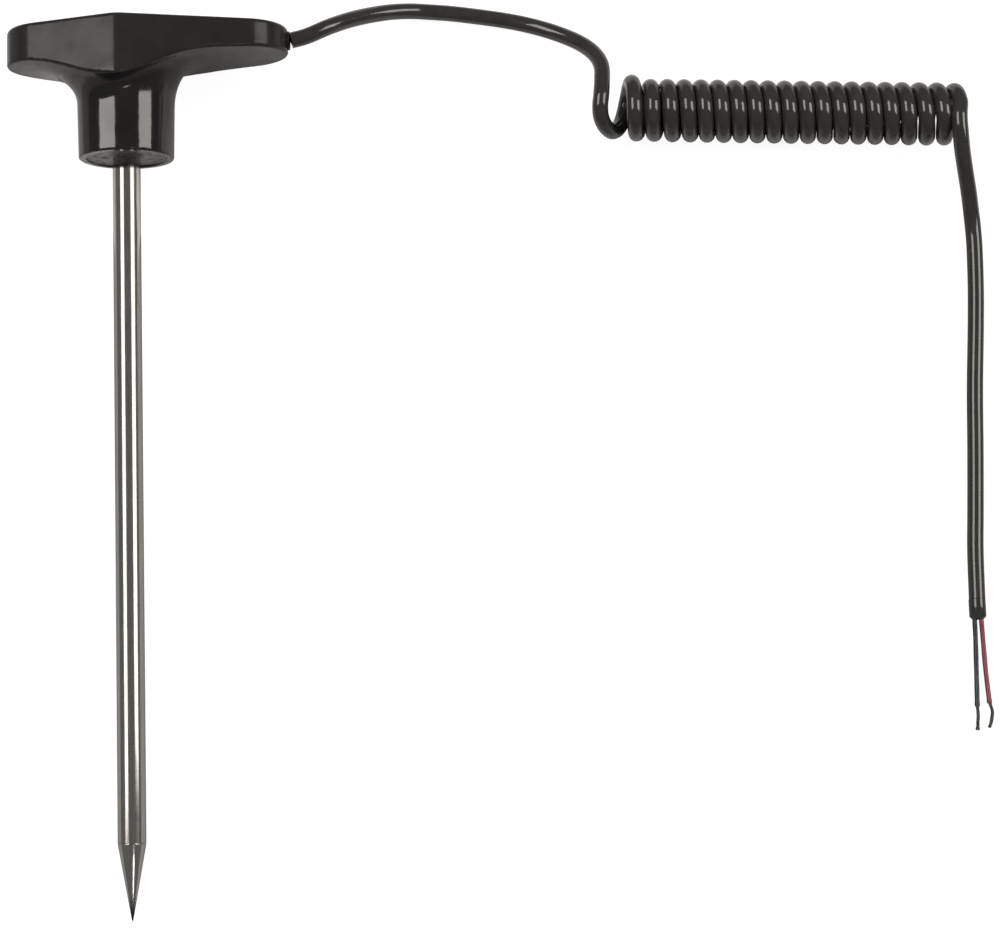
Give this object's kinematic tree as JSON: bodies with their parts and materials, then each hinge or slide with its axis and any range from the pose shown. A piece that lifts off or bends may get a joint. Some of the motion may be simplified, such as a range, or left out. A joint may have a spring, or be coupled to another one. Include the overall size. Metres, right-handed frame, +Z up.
{
  "type": "soil probe sensor",
  "caption": "Insertion probe with a pointed polished steel stem, a black T-shaped grip and a coiled cord that ends in bare red and black wires.",
  "frame": {"origin": "centre of the bottom of the probe's box, without the free cord, as it lies on a flat surface", "axes": "+Z up from the surface, +Y from the point towards the grip, +X towards the grip's cord side"},
  "size_m": [0.211, 0.1994, 0.0329],
  "materials": {
    "moulding": "glossy black moulded plastic",
    "resin": "dark grey cast resin, slightly uneven",
    "steel": "polished stainless steel",
    "jacket": "black flexible cord jacket, satin",
    "black_insulation": "black wire insulation, satin",
    "red_insulation": "dark red wire insulation, satin",
    "tinned_copper": "tinned twisted strands, dull",
    "brass": "turned brass",
    "glass_bead": "glass coated bead",
    "polyimide": "amber film tube"
  },
  "bodies": {
    "root": {"handle_shell": "moulding", "neck_potting": "resin", "centring_disc": "moulding", "tube_anchor": "brass", "probe_tube": "steel", "probe_point": "steel", "heat_compound": "resin", "sensing_element": "glass_bead", "element_sleeve": "polyimide", "lead_grommet": "jacket", "inner_jacket": "jacket", "cord_seal": "moulding", "sensor_lead_red": "red_insulation", "sensor_lead_black": "black_insulation", "splice_crimp_red": "tinned_copper", "splice_crimp_black": "tinned_copper", "splice_sleeve_red": "jacket", "splice_sleeve_black": "jacket", "inner_core_red": "red_insulation", "inner_core_black": "black_insulation", "cord_lead": "jacket", "cord_coil": "jacket", "cord_tail": "jacket", "cord_end_sleeve": "jacket", "core_black": "black_insulation", "core_red": "red_insulation", "strands_black": "tinned_copper", "strands_red": "tinned_copper"}
  },
  "joints": []
}
